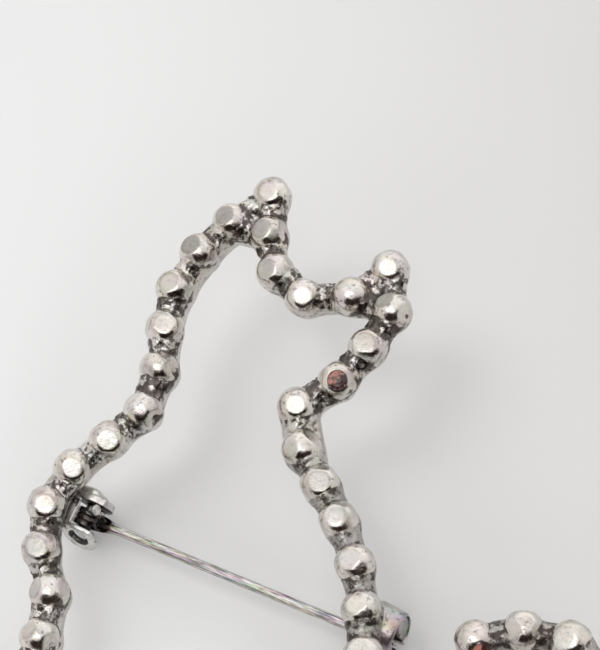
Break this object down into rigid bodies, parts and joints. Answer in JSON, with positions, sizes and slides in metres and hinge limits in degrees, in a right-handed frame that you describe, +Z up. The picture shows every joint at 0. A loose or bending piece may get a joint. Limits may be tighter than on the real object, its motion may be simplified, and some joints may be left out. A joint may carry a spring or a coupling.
{
  "type": "cat brooch",
  "caption": "Openwork brooch in the outline of a sitting cat, a bent row of faceted metal beads with small set stones and a hinged pin in a rotating safety catch.",
  "frame": {"origin": "centre of the bounding box at the surface that the brooch lies on", "axes": "+X from the hinge to the catch along the pin, +Y towards the cat's ears, +Z up out of the cat's face; the brooch lies on its back, tipped about X by its hinge and catch"},
  "size_m": [0.0533, 0.0626, 0.0105],
  "materials": {
    "antiqued_silver": "polished silvery metal, darkened brown-black in the crevices",
    "pin_wire": "bright drawn wire with faint lengthwise heat tints",
    "rose_stone": "faceted dusty rose stone, glossy"
  },
  "bodies": {
    "brooch": {"outline": "antiqued_silver", "face_stone": "rose_stone", "tail_stone": "rose_stone", "hinge_rivet": "antiqued_silver"},
    "pin": {"pin_stem": "pin_wire"},
    "catch": {"catch_sleeve": "antiqued_silver"}
  },
  "joints": [
    {"name": "pin_swing", "type": "hinge", "parent": "brooch", "child": "pin", "pos_m": [-0.02255, -0.00003, 0.00185], "axis": [0, 0.9933, 0.1151], "range_deg": [0, 80]},
    {"name": "catch_turn", "type": "hinge", "parent": "brooch", "child": "catch", "pos_m": [0.0044, 0.00064, 0.00215], "axis": [1, 0, 0], "range_deg": [0, 70]}
  ]
}
